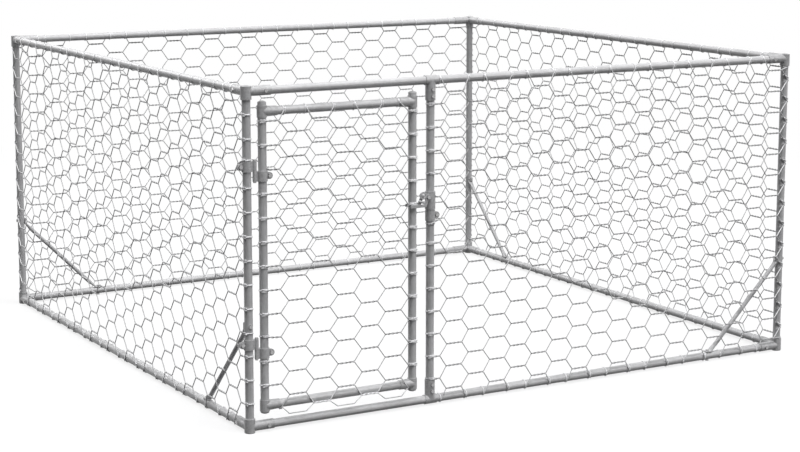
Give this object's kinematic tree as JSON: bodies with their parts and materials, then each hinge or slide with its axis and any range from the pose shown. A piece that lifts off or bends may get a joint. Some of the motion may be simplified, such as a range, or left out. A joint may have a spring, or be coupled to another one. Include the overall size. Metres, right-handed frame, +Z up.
{
  "type": "dog_kennel_run",
  "caption": "Outdoor dog run of galvanised tube: square open-topped pen with hexagonal wire netting, corner braces, hinged tube-frame door and a fork latch",
  "frame": {"origin": "middle of the plan on the ground, under the four feet", "axes": "+X to the right along the front wall, +Y from the front wall to the back wall, +Z up; the front wall, with the door, faces -Y"},
  "size_m": [2.0246, 2.0173, 1.0108],
  "materials": {
    "zinc_tube": "hot-dip galvanised steel tube, dull grey zinc with a faint crystal pattern",
    "zinc_fitting": "galvanised steel fitting, slightly darker and rougher than the tube",
    "netting_wire": "galvanised netting wire, pale grey",
    "bolt_zinc": "bright zinc-plated steel"
  },
  "bodies": {
    "frame": {"front_right_post": "zinc_tube", "back_right_post": "zinc_tube", "back_left_post": "zinc_tube", "front_left_post": "zinc_tube", "latch_post": "zinc_tube", "front_top_rail": "zinc_tube", "right_top_rail": "zinc_tube", "back_top_rail": "zinc_tube", "left_top_rail": "zinc_tube", "front_bottom_rail": "zinc_tube", "right_bottom_rail": "zinc_tube", "back_bottom_rail": "zinc_tube", "left_bottom_rail": "zinc_tube", "front_right_bottom_corner": "zinc_fitting", "back_right_bottom_corner": "zinc_fitting", "back_left_bottom_corner": "zinc_fitting", "front_left_bottom_corner": "zinc_fitting", "front_right_top_corner": "zinc_fitting", "back_right_top_corner": "zinc_fitting", "back_left_top_corner": "zinc_fitting", "front_left_top_corner": "zinc_fitting", "bottom_tee": "zinc_fitting", "top_tee": "zinc_fitting", "feet": "zinc_fitting", "post_caps": "zinc_fitting", "front_brace": "zinc_tube", "right_brace": "zinc_tube", "back_brace": "zinc_tube", "left_brace": "zinc_tube", "corner_bolts": "bolt_zinc", "tee_bolts": "bolt_zinc", "brace_bolts": "bolt_zinc", "front_net": "netting_wire", "right_net": "netting_wire", "back_net": "netting_wire", "left_net": "netting_wire", "upper_post_strap": "zinc_fitting", "lower_post_strap": "zinc_fitting", "upper_hinge_pin": "bolt_zinc", "lower_hinge_pin": "bolt_zinc", "post_strap_bolts": "bolt_zinc", "latch_collar": "zinc_fitting", "latch_collar_bolt": "bolt_zinc", "latch_body": "zinc_fitting", "latch_pivot_bolt": "bolt_zinc"},
    "door": {"door_hinge_stile": "zinc_tube", "door_latch_stile": "zinc_tube", "door_top_rail": "zinc_tube", "door_bottom_rail": "zinc_tube", "door_hinge_bottom_tee": "zinc_fitting", "door_hinge_top_tee": "zinc_fitting", "door_latch_bottom_tee": "zinc_fitting", "door_latch_top_tee": "zinc_fitting", "door_caps": "zinc_fitting", "upper_door_strap": "zinc_fitting", "lower_door_strap": "zinc_fitting", "door_strap_bolts": "bolt_zinc", "door_net": "netting_wire"},
    "latch_fork": {"latch_fork": "zinc_fitting"}
  },
  "joints": [
    {"name": "door_swing", "type": "hinge", "parent": "frame", "child": "door", "pos_m": [-0.963, -0.9875, 0.5], "axis": [0, 0, -1], "range_deg": [0, 100]},
    {"name": "latch_lift", "type": "hinge", "parent": "frame", "child": "latch_fork", "pos_m": [-0.3995, -0.9875, 0.6445], "axis": [0, 1, 0], "range_deg": [0, 110]}
  ]
}
